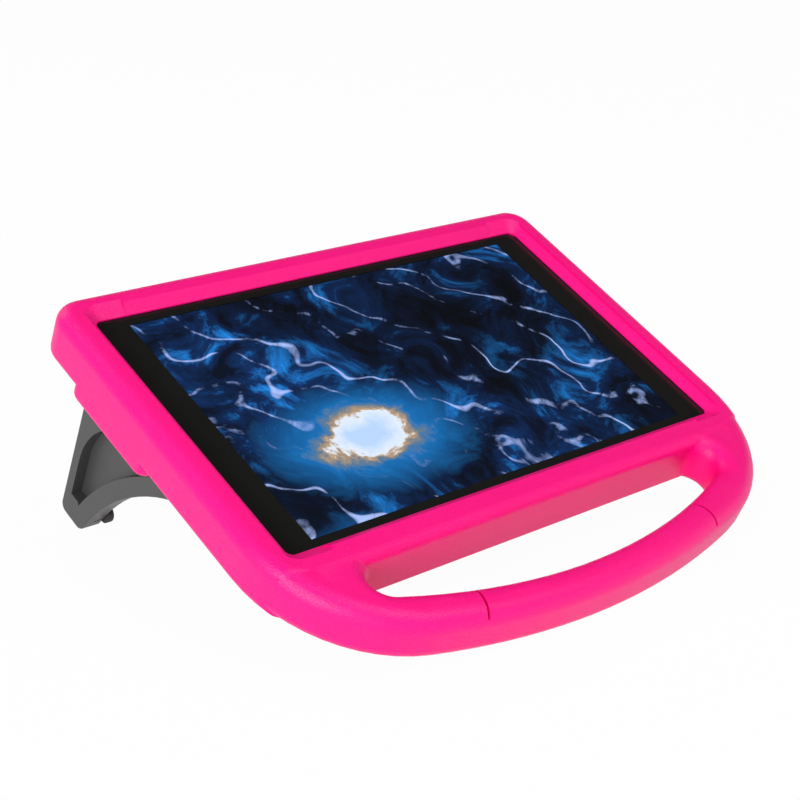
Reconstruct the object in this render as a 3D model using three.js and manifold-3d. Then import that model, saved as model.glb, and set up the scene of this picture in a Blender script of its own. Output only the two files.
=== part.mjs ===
// Kids tablet case: a moulded foam shell with a carry handle, two legs that fold out of its back,
// and the tablet that it holds. Millimetres.
// The case is modelled lying flat: x to the right, y away from the user, z out of the glass, with the
// middle of the glass face at zero. The whole is then tipped up onto its open legs.
import * as THREE from 'three';
import { mergeVertices } from 'three/addons/utils/BufferGeometryUtils.js';
import Module from 'manifold-3d';

const wasm = await Module();
wasm.setup();

// Tablet
const tabletLength = 250;
const tabletWidth = 148.8;
const tabletThickness = 7.5;
const tabletCorner = 8;
const glassThickness = 0.9;
const glassInset = 0.8;
const borderEnds = 16.25;
const borderSides = 6.45;
const displayThickness = 0.6;
const fitGap = 0.3;

// Foam frame round the tablet
const lipOverlap = 1.5;
const lipThickness = 1;
const lipRun = 4.2;
const rimHeight = 5.2;
const frameWidth = 14.8;
const nearWallWidth = 15.6;
const caseDepth = 18.5;
const farCorner = 13;
const nearCorner = 19;
const topRound = 6.8;
const bottomRound = 4;
const slotWallRound = 5;
const slotFootRound = 0.8;
const windowCorner = 3.4;
const reliefDepth = 2;
const reliefLength = 16;

// Carry handle
const handleReach = 49.9;
const gripWidth = 15.8;
const handleTop = 4.7;
const handleCorner = 68;
const handleBow = 340;
const handleTopRound = 7.8;
const handleBottomRound = 6.5;
const slotEndRadius = 8.8;
const slotBow = 277;
const slotBottomRound = 4.5;
const slitPlace = 64.5;
const slitWidth = 1.2;
const slitDepth = 7;
const slitOverlap = 3;
const slitMidway = 0.62;

// Pads on the back that make room for the hinges
const padDepth = 6.1;
const padCorner = 5;
const padSeat = 0.1;
const padFar = 60;
const padNear = 3;
const padLength = 52.3;

// Legs, with u measured from the hinge line towards the foot
const hingeInset = 27.7;
const legThickness = 10;
const hingeRadius = 4.3;
const pinRadius = 1.5;
const legReach = 97.2;
const legRear = 76.1;
const legFront = -22;
const rootClearance = 5.9;
const legArcRadius = 130.8;
const legRootU = 15.3;
const footY = 61.9;
const footCorner = 5;
const heelCorner = 4;
const legEdge = 0.8;
const pocketDepth = 5.5;
const pocketRim = 9;
const pocketRadius = 39.7;
const pocketY = 30.8;
const pocketU = 63.1;
const pocketEndU = 83.9;
const barrelNear = 10;
const barrelFar = 58;
const barrelHeel = 1.5;

// Plate in the back that carries the hinges
const foamFloor = 1.4;
const plateThickness = 1.8;
const plateMargin = 1.6;
const earThickness = 4;
const earGap = 0.5;
const stopThickness = 2.4;
const stopHeight = 7;
const pegRadius = 4.2;
const pegLength = 3.6;
const pegTipRound = 0.8;
const pegStemRadius = 1.8;
const pegStemLength = 5;
const pegHoleGap = 0.6;
const pegY = 57.5;
const pegU = 89.1;

// Openings in the walls, and what they serve
const openingFlare = 4;
const openingProud = 2;
const openingStraight = 0.2;
const openingEdge = 0.2;
const portLength = 46;
const portHeight = 6;
const portPlace = 20;
const portSpread = 12;
const portWidth = 9;
const portAspect = 0.36;
const portWall = 0.6;
const portDepth = 7;
const portFloor = 1;
const portSeam = 0.05;
const tongueSetback = 1;
const tongueThickness = 0.7;
const jackRadius = 2.3;
const jackBore = 1.75;
const keyLength = 40;
const keyEnd = 75;
const keyHeight = 2.2;
const keyDepth = 1.6;
const keyTravel = 0.4;
const keyProud = 0.6;
const powerLength = 11;
const powerPlace = -13;
const volumeLength = 22;
const volumePlace = 8;
const speakerEnd = 30;
const speakerMargin = 1;
const speakerLength = 22;
const speakerHeight = 2.4;
const speakerThickness = 0.8;
const speakerHoles = 7;
const speakerHoleRadius = 0.58;
const cameraEnd = 21;
const cameraSide = 12.4;
const cameraOpening = 10;
const cameraRadius = 4;
const cameraRing = 1;
const cameraSeat = 1.2;
const cameraProud = 0.2;
const lensRecess = 0.4;
const coverRound = 2.5;
const coverEdge = 0.4;
const displayGap = 0.3;

// How far a cutter runs past the face that it opens
const overrun = 1;

// Derived sizes
const displayLength = tabletLength - 2 * borderEnds;
const displayWidth = tabletWidth - 2 * borderSides;
const windowHalfX = tabletLength / 2 - lipOverlap;
const windowHalfY = tabletWidth / 2 - lipOverlap;
const caseHalfX = windowHalfX + frameWidth;
const caseHalfY = windowHalfY + frameWidth;
const nearWallY = -(windowHalfY + nearWallWidth);
const hingeX = caseHalfX - hingeInset;
const keyPlace = tabletLength / 2 - keyEnd;
const speakerPlace = tabletLength / 2 - speakerEnd;
const cameraPlaceX = tabletLength / 2 - cameraEnd;
const cameraPlaceY = -(tabletWidth / 2 - cameraSide);
const tabletBack = -tabletThickness;
const pocketFloor = tabletBack - fitGap;
const recessTop = pocketFloor - foamFloor;
const hingeZ = recessTop - plateThickness - 2 * fitGap - hingeRadius;
const stopOuterX = -(hingeX + Math.hypot(legThickness - hingeRadius, barrelHeel) + fitGap + stopThickness);
const handleApex = nearWallY - handleReach;
const footU = legReach - footCorner;
const legArc = arcCentre(legRootU, legFront, legArcRadius, footU, footY, legArcRadius + footCorner);
const sideMiddle = -(tabletThickness + glassThickness + fitGap) / 2;
const cameraHeight = cameraSeat - fitGap + cameraProud;
const keys = [
  { name: 'power_button', length: powerLength, x: keyPlace + powerPlace },
  { name: 'volume_rocker', length: volumeLength, x: keyPlace + volumePlace },
];

const materials = {
  foam: new THREE.MeshStandardMaterial({ color: 0xff0d78, roughness: 0.62, metalness: 0 }),
  legPlastic: new THREE.MeshStandardMaterial({ color: 0x626262, roughness: 0.5, metalness: 0 }),
  pegRubber: new THREE.MeshStandardMaterial({ color: 0x2c2c2c, roughness: 0.8, metalness: 0 }),
  pinSteel: new THREE.MeshStandardMaterial({ color: 0xb9bcc0, roughness: 0.3, metalness: 1 }),
  tabletPlastic: new THREE.MeshStandardMaterial({ color: 0x1d1d1f, roughness: 0.55, metalness: 0 }),
  borderGlass: new THREE.MeshStandardMaterial({ color: 0x191918, roughness: 0.12, metalness: 0 }),
  litPanel: new THREE.MeshStandardMaterial({ color: 0x123a86, roughness: 0.15, metalness: 0 }),
  portMetal: new THREE.MeshStandardMaterial({ color: 0x8d9094, roughness: 0.35, metalness: 1 }),
};

// A closed mesh as a solid for joining and cutting
function solidOf(geometry) {
  const bare = geometry.clone();
  bare.deleteAttribute('normal');
  bare.deleteAttribute('uv');
  const merged = mergeVertices(bare, 1e-4);
  const corners = merged.index.array;
  const kept = [];
  for (let i = 0; i < corners.length; i += 3) {
    const [a, b, c] = [corners[i], corners[i + 1], corners[i + 2]];
    if (a !== b && b !== c && c !== a) kept.push(a, b, c);
  }
  const vertProperties = new Float32Array(merged.attributes.position.array);
  const triVerts = new Uint32Array(kept);
  return new wasm.Manifold(new wasm.Mesh({ numProp: 3, vertProperties, triVerts }));
}

// A solid as a mesh geometry with flat normals
function geometryOf(solid) {
  const mesh = solid.getMesh();
  const geometry = new THREE.BufferGeometry();
  geometry.setAttribute('position', new THREE.BufferAttribute(mesh.vertProperties, 3));
  geometry.setIndex(new THREE.BufferAttribute(mesh.triVerts, 1));
  const flat = geometry.toNonIndexed();
  flat.computeVertexNormals();
  return flat;
}

// Points of an arc about a centre, from one angle to another, in degrees
function arc(cx, cy, radius, from, to, steps) {
  const points = [];
  for (let i = 0; i <= steps; i += 1) {
    const angle = THREE.MathUtils.degToRad(from + ((to - from) * i) / steps);
    points.push(new THREE.Vector2(cx + radius * Math.cos(angle), cy + radius * Math.sin(angle)));
  }
  return points;
}

// The middle of an arc at given distances from two points in u and y, on the side of the foot
function arcCentre(rootU, rootY, rootDistance, tipU, tipY, tipDistance) {
  const span = Math.hypot(tipU - rootU, tipY - rootY);
  const along = (span ** 2 + rootDistance ** 2 - tipDistance ** 2) / (2 * span);
  const across = Math.sqrt(rootDistance ** 2 - along ** 2);
  const directionU = (tipU - rootU) / span;
  const directionY = (tipY - rootY) / span;
  return {
    u: rootU + along * directionU + across * directionY,
    y: rootY + along * directionY - across * directionU,
  };
}

// A rectangle with rounded corners, as a ring of points
function roundedRing(halfX, halfY, radius, steps = 6) {
  const x = halfX - radius;
  const y = halfY - radius;
  return [
    ...arc(x, y, radius, 0, 90, steps),
    ...arc(-x, y, radius, 90, 180, steps),
    ...arc(-x, -y, radius, 180, 270, steps),
    ...arc(x, -y, radius, 270, 360, steps),
  ];
}

// A closed skin through rings of equal count, each at its height, with flat ends
function loft(levels) {
  const count = levels[0].ring.length;
  const positions = [];
  const index = [];
  for (const level of levels) {
    for (const point of level.ring) positions.push(point.x, point.y, level.z);
  }
  for (let k = 0; k + 1 < levels.length; k += 1) {
    for (let i = 0; i < count; i += 1) {
      const a = k * count + i;
      const b = k * count + ((i + 1) % count);
      index.push(a, b, b + count, a, b + count, a + count);
    }
  }
  const top = (levels.length - 1) * count;
  for (let i = 1; i + 1 < count; i += 1) {
    index.push(0, i + 1, i);
    index.push(top, top + i, top + i + 1);
  }
  const geometry = new THREE.BufferGeometry();
  geometry.setAttribute('position', new THREE.Float32BufferAttribute(positions, 3));
  geometry.setIndex(index);
  return geometry;
}

// Heights and insets of a wall that is rounded at its foot and at its top
function roundedWall(bottom, top, lowRadius, highRadius, steps = 7) {
  const wall = [];
  for (let i = 0; i <= steps; i += 1) {
    const angle = (Math.PI / 2) * (i / steps);
    wall.push({ z: bottom + lowRadius * (1 - Math.cos(angle)), inset: lowRadius * (1 - Math.sin(angle)) });
  }
  for (let i = 0; i <= steps; i += 1) {
    const angle = (Math.PI / 2) * (i / steps);
    wall.push({ z: top - highRadius * (1 - Math.sin(angle)), inset: highRadius * (1 - Math.cos(angle)) });
  }
  return wall;
}

// A flat shape given thickness upwards from a height
function plate(points, z, thickness) {
  const geometry = new THREE.ExtrudeGeometry(new THREE.Shape(points), {
    depth: thickness,
    bevelEnabled: false,
    curveSegments: 1,
  });
  return geometry.translate(0, 0, z);
}

// A profile in y and z given length along x
function barAlongX(points, x, length) {
  const geometry = new THREE.ExtrudeGeometry(new THREE.Shape(points), { depth: length, bevelEnabled: false });
  geometry.rotateX(Math.PI / 2);
  geometry.rotateZ(Math.PI / 2);
  return geometry.translate(x, 0, 0);
}

function block(lowX, highX, lowY, highY, lowZ, highZ) {
  const geometry = new THREE.BoxGeometry(highX - lowX, highY - lowY, highZ - lowZ);
  return geometry.translate((lowX + highX) / 2, (lowY + highY) / 2, (lowZ + highZ) / 2);
}

function rodAlongY(x, z, radius, lowY, highY, sides = 20) {
  const geometry = new THREE.CylinderGeometry(radius, radius, highY - lowY, sides);
  return geometry.translate(x, (lowY + highY) / 2, z);
}

function rodAlongZ(x, y, radius, lowZ, highZ, sides = 24) {
  const geometry = new THREE.CylinderGeometry(radius, radius, highZ - lowZ, sides);
  geometry.rotateX(Math.PI / 2);
  return geometry.translate(x, y, (lowZ + highZ) / 2);
}

function rodAlongX(y, z, radius, lowX, highX, sides = 24) {
  const geometry = new THREE.CylinderGeometry(radius, radius, highX - lowX, sides);
  geometry.rotateZ(Math.PI / 2);
  return geometry.translate((lowX + highX) / 2, y, z);
}

// The outline of case and handle together: straight sides, far corners, and a bowed handle
function caseRing(inset) {
  const cornerX = caseHalfX - handleCorner;
  const bowY = handleApex + handleBow;
  const cornerY = bowY - Math.sqrt((handleBow - handleCorner) ** 2 - cornerX ** 2);
  const turn = THREE.MathUtils.radToDeg(Math.atan2(bowY - cornerY, cornerX));
  const farX = caseHalfX - farCorner;
  const farY = caseHalfY - farCorner;
  return [
    ...arc(farX, farY, farCorner - inset, 0, 90, 8),
    ...arc(-farX, farY, farCorner - inset, 90, 180, 8),
    ...arc(-cornerX, cornerY, handleCorner - inset, 180, 180 + turn, 12),
    ...arc(0, bowY, handleBow - inset, 180 + turn, 360 - turn, 20).slice(1, -1),
    ...arc(cornerX, cornerY, handleCorner - inset, 360 - turn, 360, 12),
  ];
}

// The outline of the case without its handle, with the near corners rounded off
function bodyRing(inset) {
  const farX = caseHalfX - farCorner;
  const farY = caseHalfY - farCorner;
  const nearX = caseHalfX - nearCorner;
  const nearY = nearWallY + nearCorner;
  return [
    ...arc(farX, farY, farCorner - inset, 0, 90, 8),
    ...arc(-farX, farY, farCorner - inset, 90, 180, 8),
    ...arc(-nearX, nearY, nearCorner - inset, 180, 270, 10),
    ...arc(nearX, nearY, nearCorner - inset, 270, 360, 10),
  ];
}

// The outline of the finger slot between the case and the grip
function slotRing(grow) {
  const apex = handleApex + gripWidth;
  const bowY = apex + slotBow;
  const endY = nearWallY - slotEndRadius;
  const endX = Math.sqrt((slotBow - slotEndRadius) ** 2 - (bowY - endY) ** 2);
  const turn = THREE.MathUtils.radToDeg(Math.atan2(bowY - endY, endX));
  const radius = slotEndRadius + grow;
  return [
    ...arc(endX, endY, radius, 0, 90, 8),
    ...arc(-endX, endY, radius, 90, 180, 8),
    ...arc(-endX, endY, radius, 180, 180 + turn, 6).slice(1),
    ...arc(0, bowY, slotBow + grow, 180 + turn, 360 - turn, 20).slice(1, -1),
    ...arc(endX, endY, radius, 360 - turn, 360, 6).slice(0, -1),
  ];
}

// The closed profile of a leg in u and y, grown all round by a margin
function legProfile(grow = 0) {
  const arcRadius = legArcRadius - grow;
  const foot = footCorner + grow;
  const heel = heelCorner + grow;
  const footAngle = THREE.MathUtils.radToDeg(Math.atan2(legArc.y - footY, legArc.u - footU));
  const rootY = legFront - grow;
  const rootU = legArc.u - Math.sqrt(arcRadius ** 2 - (rootY - legArc.y) ** 2);
  const rootAngle = THREE.MathUtils.radToDeg(Math.atan2(rootY - legArc.y, rootU - legArc.u));
  const footSweep = THREE.MathUtils.radToDeg(Math.atan2(footY - legArc.y, footU - legArc.u));
  return [
    new THREE.Vector2(rootClearance - grow, rootY),
    ...arc(legArc.u, legArc.y, arcRadius, rootAngle, footSweep, 16),
    ...arc(footU, footY, foot, footAngle, 0, 5).slice(1),
    ...arc(legReach - heelCorner, legRear - heelCorner, heel, 0, 90, 5),
    new THREE.Vector2(rootClearance - grow, legRear + grow),
  ];
}

// The room that one leg takes when it is folded in, on the left, from one height to another
function foldedRoom(grow, low, high) {
  const points = legProfile(grow).map((point) => new THREE.Vector2(point.x - hingeX, point.y));
  const rootX = rootClearance - grow - hingeX + fitGap;
  const stopX = stopOuterX - (grow - plateMargin);
  const root = block(stopX, rootX, legFront - grow, legRear + grow, low, high);
  return solidOf(plate(points, low, high - low)).add(solidOf(root));
}

// The room of both legs, joined between the feet
function standRoom(grow, low, high) {
  const left = foldedRoom(grow, low, high);
  const right = mirroredSolid(left);
  const footX = hingeX - legReach + heelCorner;
  const bridge = block(-footX, footX, pegY + footCorner, legRear + grow, low, high);
  return left.add(right).add(solidOf(bridge));
}

function mirroredSolid(solid) {
  const mesh = solid.getMesh();
  const vertProperties = mesh.vertProperties.map((value, i) => (i % 3 === 0 ? -value : value));
  const triVerts = mesh.triVerts.map((value, i) => mesh.triVerts[i + 2 - 2 * (i % 3)]);
  return new wasm.Manifold(new wasm.Mesh({ numProp: 3, vertProperties, triVerts }));
}

// An opening through a wall, wider outside, cut along z and then turned to its wall
function flaredOpening(halfLength, halfHeight, depth, flare) {
  const radius = halfHeight - openingEdge;
  return loft([
    { z: -depth, ring: roundedRing(halfLength, halfHeight, radius, 4) },
    { z: depth * openingStraight, ring: roundedRing(halfLength, halfHeight, radius, 4) },
    { z: depth, ring: roundedRing(halfLength + flare, halfHeight + flare / 2, radius, 4) },
  ]);
}

function makeFoamShell() {
  const bodyLevels = roundedWall(-caseDepth, rimHeight, bottomRound, topRound);
  const skin = (levels, ringOf) => {
    const rings = levels.map((level) => ({ z: level.z, ring: ringOf(level.inset) }));
    return solidOf(loft(rings));
  };
  const wallLevels = roundedWall(-caseDepth, rimHeight, slotFootRound, slotWallRound);
  const body = skin(bodyLevels, caseRing).intersect(skin(wallLevels, bodyRing));
  const gripLevels = roundedWall(-caseDepth, handleTop, handleBottomRound, handleTopRound);
  const grip = skin(gripLevels, caseRing);
  const slotLevels = roundedWall(-caseDepth, handleTop, slotBottomRound, handleTopRound).map((level) => ({
    z: level.z,
    ring: slotRing(level.inset),
  }));
  const lowZ = -caseDepth - overrun;
  slotLevels.unshift({ z: lowZ, ring: slotRing(slotBottomRound) });
  slotLevels.push({ z: handleTop + overrun, ring: slotRing(handleTopRound) });
  let shell = body.add(grip.subtract(solidOf(loft(slotLevels))));

  const padY = (padFar + padNear) / 2;
  const padHalfY = (padFar - padNear) / 2;
  const padLevels = roundedWall(-caseDepth - padDepth, 0, bottomRound, padSeat, 4);
  for (const side of [-1, 1]) {
    const padHalfX = padLength / 2;
    const pad = loft(
      padLevels.map((level) => ({
        z: level.z,
        ring: roundedRing(padHalfX - level.inset, padHalfY - level.inset, padCorner, 4),
      })),
    ).translate(side * (caseHalfX - padHalfX), padY, 0);
    const padTop = -caseDepth + bottomRound;
    const padLimit = block(-caseHalfX, caseHalfX, -caseHalfY, caseHalfY, -caseDepth - padDepth, padTop);
    shell = shell.add(solidOf(pad).intersect(solidOf(padLimit)));
  }

  const pocketRing = roundedRing(tabletLength / 2 + fitGap, tabletWidth / 2 + fitGap, tabletCorner + fitGap);
  shell = shell.subtract(solidOf(loft([
    { z: pocketFloor, ring: pocketRing },
    { z: fitGap, ring: pocketRing },
  ])));
  shell = shell.subtract(solidOf(windowCut(0)));
  const relief = solidOf(windowCut(reliefDepth));
  for (const side of [-1, 1]) {
    const inner = windowHalfX - reliefLength;
    const outer = windowHalfX + lipRun;
    const corner = block(
      Math.min(side * inner, side * outer),
      Math.max(side * inner, side * outer),
      -caseHalfY,
      caseHalfY,
      0,
      rimHeight + overrun,
    );
    shell = shell.subtract(relief.intersect(solidOf(corner)));
  }

  shell = shell.subtract(standRoom(plateMargin + fitGap, lowZ - padDepth, recessTop));
  for (const side of [-1, 1]) {
    const x = side * (hingeX - pegU);
    const pegRoom = rodAlongZ(x, pegY, pegRadius + pegHoleGap, lowZ, pocketFloor + overrun);
    shell = shell.subtract(solidOf(pegRoom));
    shell = shell.subtract(gripSlit(side));
  }

  const wallDepth = frameWidth + lipOverlap;
  const cutDepth = wallDepth - openingProud;
  const openings = [
    flaredOpening(portLength / 2, portHeight / 2, wallDepth, openingFlare)
      .rotateZ(Math.PI / 2).rotateY(Math.PI / 2).translate(caseHalfX - cutDepth, portPlace, sideMiddle),
    flaredOpening(keyLength / 2, portHeight / 2, wallDepth, openingFlare)
      .rotateX(-Math.PI / 2).translate(keyPlace, caseHalfY - cutDepth, sideMiddle),
  ];
  for (const side of [-1, 1]) {
    openings.push(
      flaredOpening(speakerLength / 2 + speakerMargin, portHeight / 2, wallDepth, openingFlare)
        .rotateX(-Math.PI / 2).translate(side * speakerPlace, caseHalfY - cutDepth, sideMiddle),
    );
  }
  const cameraCut = new THREE.CylinderGeometry(
    cameraOpening / 2,
    cameraOpening / 2 + caseDepth - tabletThickness,
    caseDepth - tabletThickness + overrun,
    28,
  );
  cameraCut.rotateX(Math.PI / 2).translate(cameraPlaceX, cameraPlaceY, -(caseDepth + tabletThickness) / 2);
  openings.push(cameraCut);
  for (const opening of openings) shell = shell.subtract(solidOf(opening));
  return geometryOf(shell);
}

// The window over the glass: a low upright lip, then a slope up to the rim
function windowCut(extra) {
  const slope = (height) => lipRun * ((height - lipThickness) / (rimHeight - lipThickness));
  const level = (z, run) => ({
    z,
    ring: roundedRing(windowHalfX + run, windowHalfY + run, windowCorner + run),
  });
  return loft([
    level(-fitGap, 0),
    level(lipThickness, 0),
    level(rimHeight, slope(rimHeight) + extra),
    level(rimHeight + overrun, slope(rimHeight + overrun) + extra),
  ]);
}

// A thin cut across the grip, deepest on the side of the fingers
function gripSlit(side) {
  const bowY = handleApex + gripWidth + slotBow;
  const innerY = bowY - Math.sqrt(slotBow ** 2 - slitPlace ** 2);
  const turn = Math.atan2(slitPlace, bowY - innerY);
  const cut = barAlongX(
    [
      new THREE.Vector2(slitOverlap, handleTop + overrun),
      new THREE.Vector2(slitOverlap, handleTop - slitDepth),
      new THREE.Vector2(-gripWidth * slitMidway, handleTop - slitDepth * slitMidway),
      new THREE.Vector2(-gripWidth - slitOverlap / 2, handleTop - slitDepth * slitMidway),
      new THREE.Vector2(-gripWidth - slitOverlap / 2, handleTop + overrun),
    ],
    -slitWidth / 2,
    slitWidth,
  );
  cut.rotateZ(side * turn).translate(side * slitPlace, innerY, 0);
  return solidOf(cut);
}

// One leg, opened, on the left side
function makeLeg() {
  const profile = legProfile().map((point) => new THREE.Vector2(point.y, hingeZ - point.x));
  const outerX = -hingeX - (legThickness - hingeRadius);
  const fin = new THREE.ExtrudeGeometry(new THREE.Shape(profile), {
    depth: legThickness - 2 * legEdge,
    bevelEnabled: true,
    bevelThickness: legEdge,
    bevelSize: legEdge,
    bevelOffset: -legEdge,
    bevelSegments: 2,
  });
  fin.rotateX(Math.PI / 2).rotateZ(Math.PI / 2).translate(outerX + legEdge, 0, 0);
  let leg = solidOf(fin);

  const heelZ = hingeZ + barrelHeel;
  const rootZ = hingeZ - rootClearance - overrun;
  leg = leg.add(solidOf(block(outerX, -hingeX, barrelNear, barrelFar, rootZ, heelZ)));
  const innerX = -hingeX + hingeRadius;
  leg = leg.add(solidOf(block(outerX, innerX, barrelNear, barrelFar, rootZ, hingeZ)));
  leg = leg.add(solidOf(rodAlongY(-hingeX, hingeZ, hingeRadius, barrelNear, barrelFar, 32)));
  const boreLow = barrelNear - overrun;
  const boreHigh = barrelFar + overrun;
  leg = leg.subtract(solidOf(rodAlongY(-hingeX, hingeZ, pinRadius + fitGap, boreLow, boreHigh)));

  const lowX = outerX - overrun;
  const highX = outerX + pocketDepth;
  const frontRadius = legArcRadius + pocketRim;
  const front = rodAlongX(legArc.y, hingeZ - legArc.u, frontRadius, lowX - overrun, highX + overrun, 160);
  const round = solidOf(rodAlongX(pocketY, hingeZ - pocketU, pocketRadius, lowX, highX, 56));
  const pocketRear = pocketY + pocketRadius;
  const tip = block(lowX, highX, pocketY, pocketRear, hingeZ - pocketEndU, hingeZ - pocketU);
  leg = leg.subtract(round.add(solidOf(tip)).subtract(solidOf(front)));

  const stemLow = innerX - pegStemLength - fitGap;
  const stemHole = rodAlongX(pegY, hingeZ - pegU, pegStemRadius + fitGap, stemLow, innerX + overrun);
  leg = leg.subtract(solidOf(stemHole));
  return leg;
}

// The rubber peg near the foot: a round head, and a stem pressed into the leg
function makePeg() {
  const face = -hingeX + hingeRadius + fitGap;
  const profile = [
    new THREE.Vector2(0, -pegStemLength),
    new THREE.Vector2(pegStemRadius, -pegStemLength),
    new THREE.Vector2(pegStemRadius, 0),
    new THREE.Vector2(pegRadius, 0),
    ...arc(pegRadius - pegTipRound, pegLength - pegTipRound, pegTipRound, 0, 90, 4),
    new THREE.Vector2(0, pegLength),
  ];
  const peg = new THREE.LatheGeometry(profile, 28);
  peg.rotateZ(-Math.PI / 2).translate(face, pegY, hingeZ - pegU);
  return solidOf(peg);
}

function makeStandPlate() {
  const top = recessTop - fitGap;
  const bottom = top - plateThickness;
  let stand = standRoom(plateMargin, bottom, top);
  for (const side of [-1, 1]) {
    const stop = block(stopOuterX, stopOuterX + stopThickness, legFront, legRear, bottom - stopHeight, top);
    const stopSolid = solidOf(stop);
    stand = stand.add(side < 0 ? stopSolid : mirroredSolid(stopSolid));
    for (const low of [barrelNear - earGap - earThickness, barrelFar + earGap]) {
      const high = low + earThickness;
      const x = side * hingeX;
      stand = stand.add(solidOf(block(x - hingeRadius, x + hingeRadius, low, high, hingeZ, top)));
      stand = stand.add(solidOf(rodAlongY(x, hingeZ, hingeRadius, low, high, 32)));
      const pinHole = rodAlongY(x, hingeZ, pinRadius + fitGap, low - overrun, high + overrun);
      stand = stand.subtract(solidOf(pinHole));
    }
    const pegX = side * (hingeX - pegU);
    const pegHole = rodAlongZ(pegX, pegY, pegRadius + pegHoleGap, bottom - overrun, top + overrun);
    stand = stand.subtract(solidOf(pegHole));
  }
  return stand;
}

function makePin(side) {
  const low = barrelNear - earGap - earThickness;
  const high = barrelFar + earGap + earThickness;
  return rodAlongY(side * hingeX, hingeZ, pinRadius, low, high);
}

function makeRearCover() {
  const levels = roundedWall(tabletBack, -fitGap, coverRound, coverEdge, 4);
  const coverX = tabletLength / 2;
  const coverY = tabletWidth / 2;
  let cover = solidOf(loft(levels.map((level) => ({
    z: level.z,
    ring: roundedRing(coverX - level.inset, coverY - level.inset, tabletCorner - level.inset),
  }))));
  const seat = roundedRing(
    tabletLength / 2 - glassInset + fitGap,
    tabletWidth / 2 - glassInset + fitGap,
    tabletCorner - glassInset,
  );
  const seatFloor = -glassThickness - fitGap;
  cover = cover.subtract(solidOf(loft([{ z: seatFloor, ring: seat }, { z: overrun, ring: seat }])));
  for (const key of keys) {
    const room = keyBody(key, fitGap, keyDepth + keyTravel + fitGap, overrun);
    cover = cover.subtract(solidOf(room));
  }
  for (const side of [-1, 1]) cover = cover.subtract(solidOf(speakerBlock(side, fitGap)));
  const portY = portPlace - portSpread;
  cover = cover.subtract(solidOf(portSleeve(portWidth / 2 + fitGap, portDepth + fitGap, portY)));
  const jackY = portPlace + portSpread;
  const jackEnd = coverX - portDepth - fitGap;
  const jackRoom = rodAlongX(jackY, sideMiddle, jackRadius + fitGap, jackEnd, coverX + overrun);
  cover = cover.subtract(solidOf(jackRoom));
  const cameraTop = tabletBack + cameraSeat;
  const cameraRoom = cameraRadius + fitGap;
  cover = cover.subtract(solidOf(
    rodAlongZ(cameraPlaceX, cameraPlaceY, cameraRoom, tabletBack - overrun, cameraTop),
  ));
  return geometryOf(cover);
}

function makeFrontGlass() {
  const ring = roundedRing(
    tabletLength / 2 - glassInset,
    tabletWidth / 2 - glassInset,
    tabletCorner - glassInset,
  );
  const glass = solidOf(loft([{ z: -glassThickness, ring }, { z: 0, ring }]));
  const x = displayLength / 2;
  const y = displayWidth / 2;
  return geometryOf(glass.subtract(solidOf(block(-x, x, -y, y, -glassThickness - overrun, overrun))));
}

function makeDisplay() {
  const x = displayLength / 2 - displayGap;
  const y = displayWidth / 2 - displayGap;
  return block(-x, x, -y, y, -glassThickness, -glassThickness + displayThickness);
}

// A key on the far side: a bar with round ends that stands a little proud of the housing
function keyBody(key, grow, depth, proud) {
  const ring = roundedRing(key.length / 2 + grow, keyHeight / 2 + grow, keyHeight / 2 + grow - portSeam, 5);
  const body = loft([{ z: -depth, ring }, { z: proud, ring }]);
  return body.rotateX(-Math.PI / 2).translate(key.x, tabletWidth / 2, sideMiddle);
}

function speakerBlock(side, grow) {
  const x = side * speakerPlace;
  const y = tabletWidth / 2;
  const halfX = speakerLength / 2 + grow;
  const halfZ = speakerHeight / 2 + grow;
  const lowY = y - speakerThickness - grow;
  return block(x - halfX, x + halfX, lowY, y + grow, sideMiddle - halfZ, sideMiddle + halfZ);
}

// A flat grille with a row of round holes
function makeSpeakerGrille(side) {
  const shape = new THREE.Shape([
    new THREE.Vector2(-speakerLength / 2, -speakerHeight / 2),
    new THREE.Vector2(speakerLength / 2, -speakerHeight / 2),
    new THREE.Vector2(speakerLength / 2, speakerHeight / 2),
    new THREE.Vector2(-speakerLength / 2, speakerHeight / 2),
  ]);
  const pitch = speakerLength / speakerHoles;
  for (let i = 0; i < speakerHoles; i += 1) {
    const hole = new THREE.Path();
    hole.absarc(pitch * (i + 0.5 - speakerHoles / 2), 0, speakerHoleRadius, 0, Math.PI * 2, true);
    shape.holes.push(hole);
  }
  const grille = new THREE.ExtrudeGeometry(shape, {
    depth: speakerThickness,
    bevelEnabled: false,
    curveSegments: 6,
  });
  grille.rotateX(-Math.PI / 2);
  return grille.translate(side * speakerPlace, tabletWidth / 2 - speakerThickness, sideMiddle);
}

function portSleeve(halfLength, depth, y) {
  const halfHeight = halfLength * portAspect;
  const ring = roundedRing(halfLength, halfHeight, halfHeight - portSeam, 5);
  const sleeve = loft([{ z: -depth, ring }, { z: 0, ring }]);
  return sleeve.rotateZ(Math.PI / 2).rotateY(Math.PI / 2).translate(tabletLength / 2, y, sideMiddle);
}

// The metal sleeve of the charging port, with its tongue inside
function makeChargingPort() {
  const y = portPlace - portSpread;
  const x = tabletLength / 2;
  const sleeve = solidOf(portSleeve(portWidth / 2, portDepth, y));
  const boreLength = portDepth - portFloor + portSeam;
  const hollow = solidOf(portSleeve(portWidth / 2 - portWall, boreLength, y).translate(portSeam, 0, 0));
  const tongueY = portWidth / 4;
  const tongue = block(
    x - portDepth + portWall / 2,
    x - tongueSetback,
    y - tongueY,
    y + tongueY,
    sideMiddle - tongueThickness / 2,
    sideMiddle + tongueThickness / 2,
  );
  return geometryOf(sleeve.subtract(hollow).add(solidOf(tongue)));
}

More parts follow.
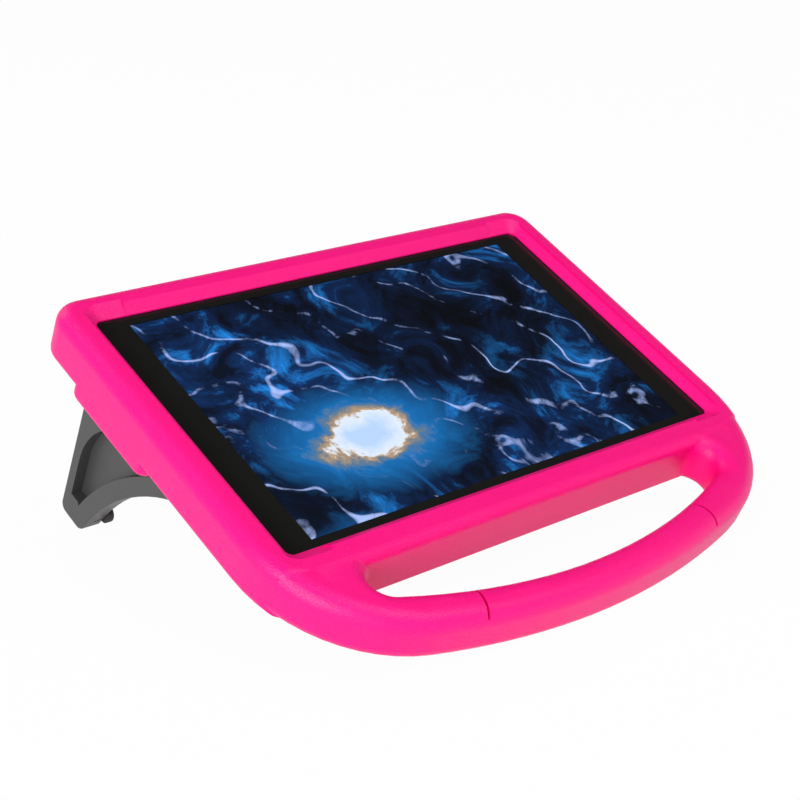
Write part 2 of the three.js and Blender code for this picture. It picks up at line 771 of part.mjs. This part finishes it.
function makeHeadphoneJack() {
  const profile = [
    new THREE.Vector2(0, 0),
    new THREE.Vector2(jackRadius, 0),
    new THREE.Vector2(jackRadius, portDepth),
    new THREE.Vector2(jackBore, portDepth),
    new THREE.Vector2(jackBore, portFloor),
    new THREE.Vector2(0, portFloor),
  ];
  const jack = new THREE.LatheGeometry(profile, 24);
  jack.rotateZ(-Math.PI / 2);
  return jack.translate(tabletLength / 2 - portDepth, portPlace + portSpread, sideMiddle);
}

// The ring round the rear camera, and its lens
function makeCameraRing() {
  const lip = cameraRadius - cameraRing;
  const profile = [
    new THREE.Vector2(lip, 0),
    new THREE.Vector2(cameraRadius, 0),
    new THREE.Vector2(cameraRadius, cameraHeight),
    new THREE.Vector2(lip, cameraHeight),
    new THREE.Vector2(lip, 0),
  ];
  const ring = new THREE.LatheGeometry(profile, 28);
  ring.rotateX(Math.PI / 2);
  return ring.translate(cameraPlaceX, cameraPlaceY, tabletBack - cameraProud);
}

function makeCameraLens() {
  const low = tabletBack - cameraProud + lensRecess;
  const high = tabletBack + cameraSeat - fitGap;
  return rodAlongZ(cameraPlaceX, cameraPlaceY, cameraRadius - cameraRing - fitGap, low, high);
}

function piece(name, geometry, material) {
  const mesh = new THREE.Mesh(geometry, material);
  mesh.name = name;
  return mesh;
}

const leftLeg = makeLeg();
const leftPeg = makePeg();

const tipped = new THREE.Group();
tipped.add(piece('foam_shell', makeFoamShell(), materials.foam));
tipped.add(piece('stand_plate', geometryOf(makeStandPlate()), materials.legPlastic));
tipped.add(piece('left_leg', geometryOf(leftLeg), materials.legPlastic));
tipped.add(piece('right_leg', geometryOf(mirroredSolid(leftLeg)), materials.legPlastic));
tipped.add(piece('left_hinge_pin', makePin(-1), materials.pinSteel));
tipped.add(piece('right_hinge_pin', makePin(1), materials.pinSteel));
tipped.add(piece('left_latch_peg', geometryOf(leftPeg), materials.pegRubber));
tipped.add(piece('right_latch_peg', geometryOf(mirroredSolid(leftPeg)), materials.pegRubber));
tipped.add(piece('tablet_rear_cover', makeRearCover(), materials.tabletPlastic));
tipped.add(piece('tablet_front_glass', makeFrontGlass(), materials.borderGlass));
tipped.add(piece('tablet_display', makeDisplay(), materials.litPanel));
tipped.add(piece('left_speaker_grille', makeSpeakerGrille(-1), materials.tabletPlastic));
tipped.add(piece('right_speaker_grille', makeSpeakerGrille(1), materials.tabletPlastic));
tipped.add(piece('charging_port', makeChargingPort(), materials.portMetal));
tipped.add(piece('headphone_jack', makeHeadphoneJack(), materials.portMetal));
tipped.add(piece('rear_camera_ring', makeCameraRing(), materials.portMetal));
tipped.add(piece('rear_camera_lens', makeCameraLens(), materials.borderGlass));
for (const key of keys) {
  tipped.add(piece(key.name, keyBody(key, 0, keyDepth, keyProud), materials.tabletPlastic));
}

// The case leans on the underside of its grip and on the round front corners of its feet
const gripY = handleApex + handleBottomRound;
const gripZ = -caseDepth + handleBottomRound;
const footZ = hingeZ - footU;
const span = Math.hypot(footY - gripY, footZ - gripZ);
const tilt = Math.atan2(gripZ - footZ, footY - gripY) + Math.asin((footCorner - handleBottomRound) / span);
tipped.rotation.x = tilt;

// The origin is on the table, under the middle of the object
const object = new THREE.Group();
object.add(tipped);
object.updateMatrixWorld(true);
const bounds = new THREE.Box3().setFromObject(object, true);
tipped.position.set(
  -(bounds.min.x + bounds.max.x) / 2,
  -(bounds.min.y + bounds.max.y) / 2,
  -bounds.min.z,
);

export default object;
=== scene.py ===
import math

import bpy
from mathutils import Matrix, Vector


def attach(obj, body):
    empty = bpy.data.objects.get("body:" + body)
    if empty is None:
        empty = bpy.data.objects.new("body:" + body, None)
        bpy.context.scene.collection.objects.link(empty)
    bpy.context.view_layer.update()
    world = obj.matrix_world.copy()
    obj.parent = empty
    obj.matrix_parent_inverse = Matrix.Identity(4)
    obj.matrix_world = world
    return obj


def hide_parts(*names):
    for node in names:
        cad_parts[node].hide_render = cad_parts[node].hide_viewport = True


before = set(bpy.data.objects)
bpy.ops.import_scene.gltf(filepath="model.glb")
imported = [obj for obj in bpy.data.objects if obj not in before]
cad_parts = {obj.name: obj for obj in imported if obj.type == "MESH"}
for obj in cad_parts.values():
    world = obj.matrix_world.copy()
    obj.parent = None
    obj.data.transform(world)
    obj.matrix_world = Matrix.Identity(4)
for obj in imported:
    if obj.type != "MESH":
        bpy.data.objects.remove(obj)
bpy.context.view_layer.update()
bpy.ops.object.select_all(action="DESELECT")
scene = bpy.context.scene
scene.view_settings.view_transform = "Standard"

# Camera
# It stands in front, to the left and a little above, where the photograph was taken, and the
# lens gives the photograph's perspective on a 36 mm sensor.
camera_data = bpy.data.cameras.new("camera")
camera_data.sensor_width = 36
camera_data.lens = 76.385
camera_data.clip_start = 0.05
camera_data.clip_end = 30
camera = bpy.data.objects.new("camera", camera_data)
camera.location = (-0.477834, -0.532092, 0.304885)
camera.rotation_euler = [math.radians(angle) for angle in (71.28918, 0.33551, -41.24978)]
scene.collection.objects.link(camera)
scene.camera = camera


# Studio
# A white table that runs out of sight, a white room whose ceiling mirrors darker, and three
# soft boxes: one low on the left, one high in front, and one high behind.
def new_material(name):
    material = bpy.data.materials.new(name)
    material.use_nodes = True
    material.node_tree.nodes.clear()
    output = material.node_tree.nodes.new("ShaderNodeOutputMaterial")
    return material, material.node_tree, output


def add_node(tree, kind, inputs=None, **settings):
    """A shader node with its settings, and with each input linked or set to a value."""
    node = tree.nodes.new(kind)
    for setting, value in settings.items():
        setattr(node, setting, value)
    for socket, value in (inputs or {}).items():
        if isinstance(value, bpy.types.NodeSocket):
            tree.links.new(value, node.inputs[socket])
        else:
            node.inputs[socket].default_value = value
    return node


def seen_directly(tree):
    """1 for rays from the camera and for what metal and glass mirror, 0 for rays that light."""
    path = add_node(tree, "ShaderNodeLightPath")
    mirrored = add_node(
        tree,
        "ShaderNodeMath",
        {0: path.outputs["Is Glossy Ray"], 1: path.outputs["Is Transmission Ray"]},
        operation="MAXIMUM",
    )
    return add_node(
        tree,
        "ShaderNodeMath",
        {0: path.outputs["Is Camera Ray"], 1: mirrored.outputs[0]},
        operation="MAXIMUM",
    ).outputs[0]


table_radius = 6
bpy.ops.mesh.primitive_circle_add(
    vertices=96, radius=table_radius, fill_type="NGON", location=(0, 0, 0)
)
table = bpy.context.object
table.name = "table"
floor_material, tree, output = new_material("white_table")
floor_diffuse = add_node(tree, "ShaderNodeBsdfDiffuse", {"Color": (0.86, 0.86, 0.86, 1)})
floor_glow = add_node(tree, "ShaderNodeEmission", {"Color": (1, 1, 1, 1), "Strength": 1.0})
glow_share = 0.97
floor_share = add_node(
    tree, "ShaderNodeMath", {0: seen_directly(tree), 1: glow_share}, operation="MULTIPLY"
)
floor_mix = add_node(
    tree,
    "ShaderNodeMixShader",
    {0: floor_share.outputs[0], 1: floor_diffuse.outputs[0], 2: floor_glow.outputs[0]},
)
tree.links.new(floor_mix.outputs[0], output.inputs["Surface"])
table.data.materials.append(floor_material)

room_fill = 0.42
ceiling_mirrored = 0.02
world = bpy.data.worlds.new("room")
world.use_nodes = True
scene.world = world
tree = world.node_tree
tree.nodes.clear()
direction = add_node(tree, "ShaderNodeTexCoord")
height = add_node(tree, "ShaderNodeSeparateXYZ", {0: direction.outputs["Generated"]})
ceiling = add_node(
    tree,
    "ShaderNodeMapRange",
    {
        "Value": height.outputs["Z"],
        "From Min": 0.1,
        "From Max": 0.42,
        "To Min": 1.0,
        "To Max": ceiling_mirrored,
    },
)
mirrored_level = add_node(
    tree, "ShaderNodeMix", {0: seen_directly(tree), 2: room_fill, 3: ceiling.outputs[0]}
)
view_path = add_node(tree, "ShaderNodeLightPath")
room_level = add_node(
    tree,
    "ShaderNodeMix",
    {0: view_path.outputs["Is Camera Ray"], 2: mirrored_level.outputs[0], 3: 1.0},
)
room_light = add_node(
    tree, "ShaderNodeBackground", {"Color": (1, 1, 1, 1), "Strength": room_level.outputs[0]}
)
add_node(tree, "ShaderNodeOutputWorld", {"Surface": room_light.outputs[0]})

# Each soft box is a disc, with its place and width in metres and its power in watts.
soft_boxes = {
    "soft_box_left": {"place": (-1.5, -0.7, 0.4), "size": 0.8, "power": 21},
    "soft_box_front": {"place": (0.3, -1.4, 1.5), "size": 1.0, "power": 15},
    "soft_box_behind": {"place": (-0.5, 1.5, 1.4), "size": 1.0, "power": 9},
}
for name, box in soft_boxes.items():
    lamp_data = bpy.data.lights.new(name, "AREA")
    lamp_data.shape = "DISK"
    lamp_data.size = box["size"]
    lamp_data.energy = box["power"]
    lamp = bpy.data.objects.new(name, lamp_data)
    lamp.location = box["place"]
    lamp.rotation_euler = (-Vector(box["place"])).to_track_quat("-Z", "Y").to_euler()
    scene.collection.objects.link(lamp)


# Foam case
# One moulding of closed-cell foam: frame, back and carry handle. The mould leaves a fine matt
# grain on all of it, and soft rounds everywhere but at the lip over the glass.
same_point = 0.00001
flat_within = 0.6


def finished_copy(node_name, name, body, material, angle, edge_round=0):
    """A merged copy of a moulded solid, shaded evenly up to the given angle in degrees."""
    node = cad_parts[node_name]
    piece = bpy.data.objects.new(name, node.data.copy())
    scene.collection.objects.link(piece)
    bpy.ops.object.select_all(action="DESELECT")
    bpy.context.view_layer.objects.active = piece
    piece.select_set(True)
    bpy.ops.mesh.customdata_custom_splitnormals_clear()
    bpy.ops.object.mode_set(mode="EDIT")
    bpy.ops.mesh.select_all(action="SELECT")
    bpy.ops.mesh.remove_doubles(threshold=same_point)
    bpy.ops.mesh.dissolve_limited(angle_limit=math.radians(flat_within), delimit={"NORMAL"})
    bpy.ops.object.mode_set(mode="OBJECT")
    bpy.ops.object.shade_smooth_by_angle(angle=math.radians(angle))
    if edge_round:
        bevel = piece.modifiers.new("edge_round", "BEVEL")
        bevel.width = edge_round
        bevel.segments = 2
        bevel.limit_method = "ANGLE"
        bevel.angle_limit = math.radians(angle)
        bpy.ops.object.modifier_apply(modifier=bevel.name)
    weighted = piece.modifiers.new("even_shading", "WEIGHTED_NORMAL")
    weighted.keep_sharp = True
    weighted.weight = 80
    bpy.ops.object.modifier_apply(modifier=weighted.name)
    piece.data.materials.clear()
    piece.data.materials.append(material)
    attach(piece, body)
    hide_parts(node_name)


def new_group(name, inputs, outputs):
    """A shader node group with named sockets, and its own input and output nodes."""
    tree = bpy.data.node_groups.new(name, "ShaderNodeTree")
    for label, kind, value in inputs:
        socket = tree.interface.new_socket(label, in_out="INPUT", socket_type=kind)
        socket.default_value = value
    for label, kind in outputs:
        tree.interface.new_socket(label, in_out="OUTPUT", socket_type=kind)
    entry = tree.nodes.new("NodeGroupInput")
    result = tree.nodes.new("NodeGroupOutput")
    return tree, entry, result


# Grain of a mould: pits of one size, cloudy variation of the colour, and an uneven sheen.
mould_grain, entry, result = new_group(
    "mould_grain",
    [
        ("Color", "NodeSocketColor", (1, 1, 1, 1)),
        ("Pits per metre", "NodeSocketFloat", 1400.0),
        ("Colour drift", "NodeSocketFloat", 0.05),
        ("Roughness", "NodeSocketFloat", 0.5),
        ("Roughness drift", "NodeSocketFloat", 0.08),
    ],
    [
        ("Color", "NodeSocketColor"),
        ("Roughness", "NodeSocketFloat"),
        ("Height", "NodeSocketFloat"),
    ],
)
place = add_node(mould_grain, "ShaderNodeTexCoord")
pits = add_node(
    mould_grain,
    "ShaderNodeTexVoronoi",
    {"Vector": place.outputs["Object"], "Scale": entry.outputs["Pits per metre"]},
    feature="SMOOTH_F1",
)
clouds = add_node(
    mould_grain,
    "ShaderNodeTexNoise",
    {"Vector": place.outputs["Object"], "Scale": 26.0, "Detail": 4.0, "Roughness": 0.6},
)
speckle = add_node(
    mould_grain,
    "ShaderNodeTexNoise",
    {"Vector": place.outputs["Object"], "Scale": entry.outputs["Pits per metre"], "Detail": 2.0},
)
relief = add_node(
    mould_grain,
    "ShaderNodeMath",
    {0: pits.outputs["Distance"], 1: speckle.outputs["Fac"]},
    operation="ADD",
)
cloud_level = add_node(
    mould_grain,
    "ShaderNodeMath",
    {0: clouds.outputs["Fac"], 1: speckle.outputs["Fac"]},
    operation="ADD",
)
cloud_centred = add_node(
    mould_grain, "ShaderNodeMath", {0: cloud_level.outputs[0], 1: -1.0}, operation="ADD"
)
shade = add_node(
    mould_grain,
    "ShaderNodeMath",
    {0: cloud_centred.outputs[0], 1: entry.outputs["Colour drift"], 2: 1.0},
    operation="MULTIPLY_ADD",
)
tinted = add_node(
    mould_grain,
    "ShaderNodeVectorMath",
    {0: entry.outputs["Color"], "Scale": shade.outputs[0]},
    operation="SCALE",
)
dulled = add_node(
    mould_grain,
    "ShaderNodeMath",
    {
        0: cloud_centred.outputs[0],
        1: entry.outputs["Roughness drift"],
        2: entry.outputs["Roughness"],
    },
    operation="MULTIPLY_ADD",
)
mould_grain.links.new(tinted.outputs[0], result.inputs["Color"])
mould_grain.links.new(dulled.outputs[0], result.inputs["Roughness"])
mould_grain.links.new(relief.outputs[0], result.inputs["Height"])


def moulded_material(name, color, pits_per_metre, drift, roughness, depth, gloss):
    """Moulded foam, rubber or plastic, with a grain whose pits are depth metres deep."""
    material, tree, output = new_material(name)
    group = add_node(tree, "ShaderNodeGroup", node_tree=mould_grain)
    group.inputs["Color"].default_value = (*color, 1)
    group.inputs["Pits per metre"].default_value = pits_per_metre
    group.inputs["Colour drift"].default_value = drift
    group.inputs["Roughness"].default_value = roughness
    bump = add_node(
        tree,
        "ShaderNodeBump",
        {"Height": group.outputs["Height"], "Strength": 0.5, "Distance": depth},
    )
    shader = add_node(
        tree,
        "ShaderNodeBsdfPrincipled",
        {
            "Base Color": group.outputs["Color"],
            "Roughness": group.outputs["Roughness"],
            "Normal": bump.outputs["Normal"],
            "Specular IOR Level": gloss,
        },
    )
    tree.links.new(shader.outputs[0], output.inputs["Surface"])
    return material


foam_material = moulded_material(
    "pink_foam",
    color=(0.93, 0.0006, 0.21),
    pits_per_metre=1700.0,
    drift=0.08,
    roughness=0.4,
    depth=0.00028,
    gloss=0.3,
)
finished_copy("foam_shell", "foam_case", "case", foam_material, angle=34)

# Stand: plate and legs
# Grey moulded plastic with a fine spark-eroded grain. The plate is sunk in the back of the foam,
# and the legs turn on pins in its ears.
leg_material = moulded_material(
    "grey_leg_plastic",
    color=(0.05, 0.0505, 0.05),
    pits_per_metre=2200.0,
    drift=0.12,
    roughness=0.45,
    depth=0.00012,
    gloss=0.45,
)
finished_copy("stand_plate", "back_plate", "case", leg_material, angle=30)
finished_copy("left_leg", "left_fin", "left_stand_leg", leg_material, angle=30)
finished_copy("right_leg", "right_fin", "right_stand_leg", leg_material, angle=30)

# Latch pegs
# Short dark rubber buttons on the inner face of each leg, near the foot. They grip the holes in
# the plate when the legs are folded away.
peg_material = moulded_material(
    "dark_peg_rubber",
    color=(0.03, 0.03, 0.03),
    pits_per_metre=2200.0,
    drift=0.15,
    roughness=0.62,
    depth=0.00006,
    gloss=0.4,
)
for side in ("left", "right"):
    finished_copy(
        f"{side}_latch_peg",
        f"{side}_peg",
        f"{side}_stand_leg",
        peg_material,
        angle=40,
    )


# Hinge pins, ports and camera ring
# Drawn steel pins, and small turned or pressed metal parts of the tablet, with the fine streaks
# that drawing and turning leave.
drawn_streaks, entry, result = new_group(
    "drawn_streaks",
    [("Color", "NodeSocketColor", (1, 1, 1, 1)), ("Roughness", "NodeSocketFloat", 0.3)],
    [("Color", "NodeSocketColor"), ("Roughness", "NodeSocketFloat")],
)
place = add_node(drawn_streaks, "ShaderNodeTexCoord")
stretch = add_node(
    drawn_streaks,
    "ShaderNodeMapping",
    {"Vector": place.outputs["Object"], "Scale": (900.0, 40.0, 900.0)},
)
streaks = add_node(
    drawn_streaks, "ShaderNodeTexNoise", {"Vector": stretch.outputs[0], "Scale": 1.0, "Detail": 3.0}
)
streak_shade = add_node(
    drawn_streaks,
    "ShaderNodeMapRange",
    {"Value": streaks.outputs["Fac"], "To Min": 0.82, "To Max": 1.1},
)
streak_color = add_node(
    drawn_streaks,
    "ShaderNodeVectorMath",
    {0: entry.outputs["Color"], "Scale": streak_shade.outputs[0]},
    operation="SCALE",
)
streak_rough = add_node(
    drawn_streaks,
    "ShaderNodeMath",
    {0: streaks.outputs["Fac"], 1: 0.25, 2: entry.outputs["Roughness"]},
    operation="MULTIPLY_ADD",
)
drawn_streaks.links.new(streak_color.outputs[0], result.inputs["Color"])
drawn_streaks.links.new(streak_rough.outputs[0], result.inputs["Roughness"])


def metal_material(name, color, roughness):
    """Drawn or turned metal with fine streaks along it."""
    material, tree, output = new_material(name)
    group = add_node(tree, "ShaderNodeGroup", node_tree=drawn_streaks)
    group.inputs["Color"].default_value = (*color, 1)
    group.inputs["Roughness"].default_value = roughness
    shader = add_node(
        tree,
        "ShaderNodeBsdfPrincipled",
        {
            "Base Color": group.outputs["Color"],
            "Roughness": group.outputs["Roughness"],
            "Metallic": 1.0,
        },
    )
    tree.links.new(shader.outputs[0], output.inputs["Surface"])
    return material


pin_metal = metal_material("drawn_pin_steel", color=(0.52, 0.53, 0.55), roughness=0.2)
port_metal = metal_material("satin_port_metal", color=(0.3, 0.31, 0.33), roughness=0.25)
finished_copy("left_hinge_pin", "left_pin", "case", pin_metal, angle=40)
finished_copy("right_hinge_pin", "right_pin", "case", pin_metal, angle=40)
finished_copy("charging_port", "charging_socket", "case", port_metal, angle=35)
finished_copy("headphone_jack", "headphone_socket", "case", port_metal, angle=35)
finished_copy("rear_camera_ring", "camera_ring", "case", port_metal, angle=35)

# Tablet housing, keys and speaker grilles
# Black satin plastic with a very fine grain. The keys and grilles sit in slots of the housing's
# edge, and only what the openings of the foam leave free shows.
key_edge_round = 0.0002
housing_material = moulded_material(
    "black_housing",
    color=(0.012, 0.012, 0.013),
    pits_per_metre=3000.0,
    drift=0.1,
    roughness=0.4,
    depth=0.00004,
    gloss=0.5,
)
for node_name, name, body, edge_round in (
    ("tablet_rear_cover", "tablet_housing", "case", 0),
    ("left_speaker_grille", "left_grille", "case", 0),
    ("right_speaker_grille", "right_grille", "case", 0),
    ("power_button", "power_key", "power_key", key_edge_round),
    ("volume_rocker", "volume_key", "volume_key", key_edge_round),
):
    finished_copy(
        node_name,
        name,
        body,
        housing_material,
        angle=35,
        edge_round=edge_round,
    )

# Border glass and camera lens
# The black printed border of the tablet's front glass, which frames the lit panel, and the small
# lens that is held by the camera's ring. Both are glossy, with the faintest smears of handling.
glass_material, tree, output = new_material("black_border_glass")
place = add_node(tree, "ShaderNodeTexCoord")
smears = add_node(
    tree,
    "ShaderNodeTexNoise",
    {"Vector": place.outputs["Object"], "Scale": 30.0, "Detail": 5.0, "Distortion": 1.5},
)
smear_rough = add_node(
    tree, "ShaderNodeMapRange", {"Value": smears.outputs["Fac"], "To Min": 0.08, "To Max": 0.2}
)
glass_color = add_node(
    tree,
    "ShaderNodeMix",
    {0: smears.outputs["Fac"], 6: (0.0085, 0.0085, 0.0078, 1), 7: (0.011, 0.011, 0.0105, 1)},
    data_type="RGBA",
)
glass_shader = add_node(
    tree,
    "ShaderNodeBsdfPrincipled",
    {
        "Base Color": glass_color.outputs[2],
        "Roughness": smear_rough.outputs[0],
        "Specular IOR Level": 0.25,
    },
)
tree.links.new(glass_shader.outputs[0], output.inputs["Surface"])


def finish_in_place(node_name, material):
    """Give a CAD solid whose shape is right its finish, without a copy."""
    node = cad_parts[node_name]
    node.data.materials.clear()
    node.data.materials.append(material)


finish_in_place("tablet_front_glass", glass_material)
finish_in_place("rear_camera_lens", glass_material)

# Lit display
# A flat panel inside the border, which glows by itself. It shows plain fields of blue: rolling
# folds with pale crests, and a round glow low on the left with a sandy rim.
screen_tilt = 0.453405507
pattern_start = (0, -0.036153, -0.065884)
night_blue = (0.0006, 0.0022, 0.009, 1)
middle_blue = (0.0016, 0.014, 0.06, 1)
bright_blue = (0.012, 0.2, 0.62, 1)
pale_crest = (0.42, 0.55, 1.0, 1)
glow_middle = (0.5, 0.7, 1.0, 1)
glow_pale = (0.8, 0.88, 1.0, 1)
rim_sand = (0.5, 0.33, 0.18, 1)
rim_shade = (0.12, 0.2, 0.3, 1)
glow_haze = (0.008, 0.17, 0.5, 1)


def color_ramp(tree, level, first, last, between):
    """A colour ramp over a level, with its first and last stop and those between them."""
    ramp = add_node(tree, "ShaderNodeValToRGB", {0: level})
    stops = ramp.color_ramp.elements
    stops[0].position, stops[0].color = first
    stops[1].position, stops[1].color = last
    for position, color in between:
        stops.new(position).color = color
    return ramp.outputs[0]


screen_material, tree, output = new_material("lit_blue_panel")
place = add_node(tree, "ShaderNodeTexCoord")
laid_flat = add_node(
    tree,
    "ShaderNodeMapping",
    {
        "Vector": place.outputs["Object"],
        "Rotation": (-screen_tilt, 0, 0),
        "Location": pattern_start,
    },
)

# Folds of blue, darker in broad valleys.
swirl = add_node(
    tree,
    "ShaderNodeTexNoise",
    {
        "Vector": laid_flat.outputs[0],
        "Scale": 34.0,
        "Detail": 12.0,
        "Roughness": 0.66,
        "Distortion": 0.9,
    },
)
folds = color_ramp(
    tree,
    swirl.outputs["Fac"],
    first=(0.4, night_blue),
    last=(0.72, bright_blue),
    between=[(0.54, middle_blue)],
)
valley = add_node(
    tree,
    "ShaderNodeTexNoise",
    {"Vector": laid_flat.outputs[0], "Scale": 11.0, "Detail": 2.0, "Distortion": 0.8},
)
valley_level = add_node(
    tree,
    "ShaderNodeMapRange",
    {
        "Value": valley.outputs["Fac"],
        "From Min": 0.38,
        "From Max": 0.68,
        "To Min": 0.35,
        "To Max": 2.2,
    },
)
shaded_folds = add_node(
    tree,
    "ShaderNodeVectorMath",
    {0: folds, "Scale": valley_level.outputs[0]},
    operation="SCALE",
)

# Pale crests: the peaks of bent waves, broken where the folds are dark.
wave = add_node(
    tree,
    "ShaderNodeTexWave",
    {
        "Vector": laid_flat.outputs[0],
        "Scale": 20.0,
        "Distortion": 9.0,
        "Detail": 1.6,
        "Detail Scale": 1.6,
        "Detail Roughness": 0.5,
    },
    bands_direction="DIAGONAL",
)
crest = add_node(
    tree,
    "ShaderNodeMapRange",
    {"Value": wave.outputs["Fac"], "From Min": 0.962, "From Max": 1.0},
)
crest_gaps = add_node(
    tree,
    "ShaderNodeMapRange",
    {"Value": swirl.outputs["Fac"], "From Min": 0.47, "From Max": 0.62},
)
broken_crest = add_node(
    tree,
    "ShaderNodeMath",
    {0: crest.outputs[0], 1: crest_gaps.outputs[0]},
    operation="MULTIPLY",
)
crested_folds = add_node(
    tree,
    "ShaderNodeMix",
    {0: broken_crest.outputs[0], 6: shaded_folds.outputs[0], 7: pale_crest},
    data_type="RGBA",
)

# The round glow: a distance from its middle, made uneven by the folds.
glow_place = add_node(
    tree,
    "ShaderNodeMapping",
    {"Vector": laid_flat.outputs[0], "Location": (1.6, 1.5, 0.0), "Scale": (33.0, 56.0, 0.0)},
)
glow_distance = add_node(
    tree,
    "ShaderNodeVectorMath",
    {0: glow_place.outputs[0]},
    operation="LENGTH",
)
glow_edge = add_node(
    tree,
    "ShaderNodeMath",
    {0: swirl.outputs["Fac"], 1: 2.0, 2: glow_distance.outputs["Value"]},
    operation="MULTIPLY_ADD",
)
glow_level = add_node(
    tree, "ShaderNodeMath", {0: glow_edge.outputs[0], 1: 0.5}, operation="MULTIPLY"
)
glow = color_ramp(
    tree,
    glow_level.outputs[0],
    first=(0.55, glow_middle),
    last=(1.0, glow_haze),
    between=[(0.78, glow_pale), (0.82, rim_sand), (0.9, rim_shade)],
)
glow_mask = add_node(
    tree,
    "ShaderNodeMapRange",
    {
        "Value": glow_edge.outputs[0],
        "From Min": 1.9,
        "From Max": 2.9,
        "To Min": 1.0,
        "To Max": 0.0,
    },
)
picture = add_node(
    tree,
    "ShaderNodeMix",
    {0: glow_mask.outputs[0], 6: crested_folds.outputs[2], 7: glow},
    data_type="RGBA",
)
screen_shader = add_node(
    tree,
    "ShaderNodeBsdfPrincipled",
    {
        "Base Color": (0.004, 0.004, 0.004, 1),
        "Roughness": 0.12,
        "Specular IOR Level": 0.25,
        "Emission Color": picture.outputs[2],
        "Emission Strength": 1.0,
    },
)
tree.links.new(screen_shader.outputs[0], output.inputs["Surface"])
finish_in_place("tablet_display", screen_material)
